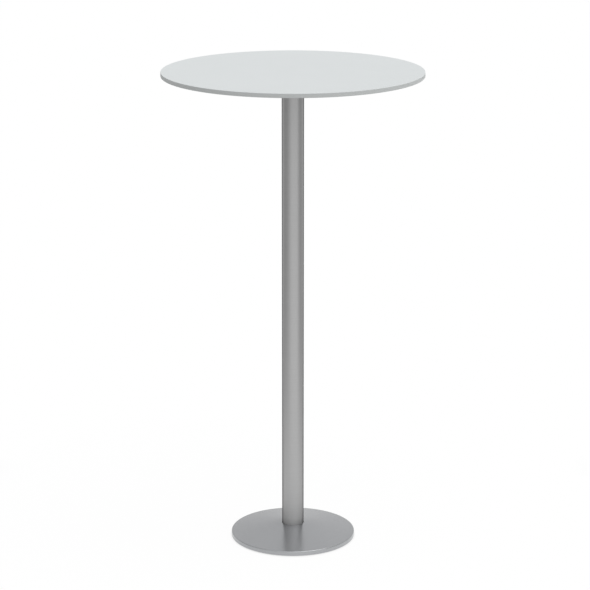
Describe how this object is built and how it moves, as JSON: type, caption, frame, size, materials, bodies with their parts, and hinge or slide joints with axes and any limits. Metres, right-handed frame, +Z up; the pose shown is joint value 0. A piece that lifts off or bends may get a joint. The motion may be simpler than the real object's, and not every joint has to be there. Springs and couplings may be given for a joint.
{
  "type": "bar table",
  "caption": "Bar-height pedestal table: thin round white top on a slim satin steel column, with a low conical satin steel base on screw-in levelling glides.",
  "frame": {"origin": "on the floor under the middle of the column", "axes": "+Z up along the column, +Y away from the viewer of the picture, +X to that viewer's right"},
  "size_m": [0.6, 0.6, 1.12],
  "materials": {
    "white_laminate": "white compact laminate, fine matt texture",
    "satin_steel": "satin brushed stainless steel",
    "cast_aluminium": "tumbled casting",
    "zinc_steel": "bright zinc plate",
    "turned_steel": "turned, oiled",
    "black_steel": "black powder coat",
    "brass_insert": "turned brass",
    "nylon": "moulded nylon"
  },
  "bodies": {
    "frame": {"table_top": "white_laminate", "threaded_inserts": "brass_insert", "top_spider": "cast_aluminium", "spider_screws": "zinc_steel", "spider_washers": "zinc_steel", "column_tube": "satin_steel", "tie_rod": "zinc_steel", "tie_rod_nut": "zinc_steel", "tie_rod_spring_washer": "zinc_steel", "tie_rod_washer": "zinc_steel", "column_boss": "turned_steel", "boss_screws": "zinc_steel", "base_plate": "black_steel", "base_cover": "satin_steel"},
    "glide_1": {"levelling_stud_1": "zinc_steel", "glide_pad_1": "nylon"},
    "glide_2": {"levelling_stud_2": "zinc_steel", "glide_pad_2": "nylon"},
    "glide_3": {"levelling_stud_3": "zinc_steel", "glide_pad_3": "nylon"},
    "glide_4": {"levelling_stud_4": "zinc_steel", "glide_pad_4": "nylon"}
  },
  "joints": [
    {"name": "glide_1_screw", "type": "slide", "parent": "frame", "child": "glide_1", "axis": [0, 0, -1], "range_m": [0, 0.004]},
    {"name": "glide_2_screw", "type": "slide", "parent": "frame", "child": "glide_2", "axis": [0, 0, -1], "range_m": [0, 0.004]},
    {"name": "glide_3_screw", "type": "slide", "parent": "frame", "child": "glide_3", "axis": [0, 0, -1], "range_m": [0, 0.004]},
    {"name": "glide_4_screw", "type": "slide", "parent": "frame", "child": "glide_4", "axis": [0, 0, -1], "range_m": [0, 0.004]}
  ]
}
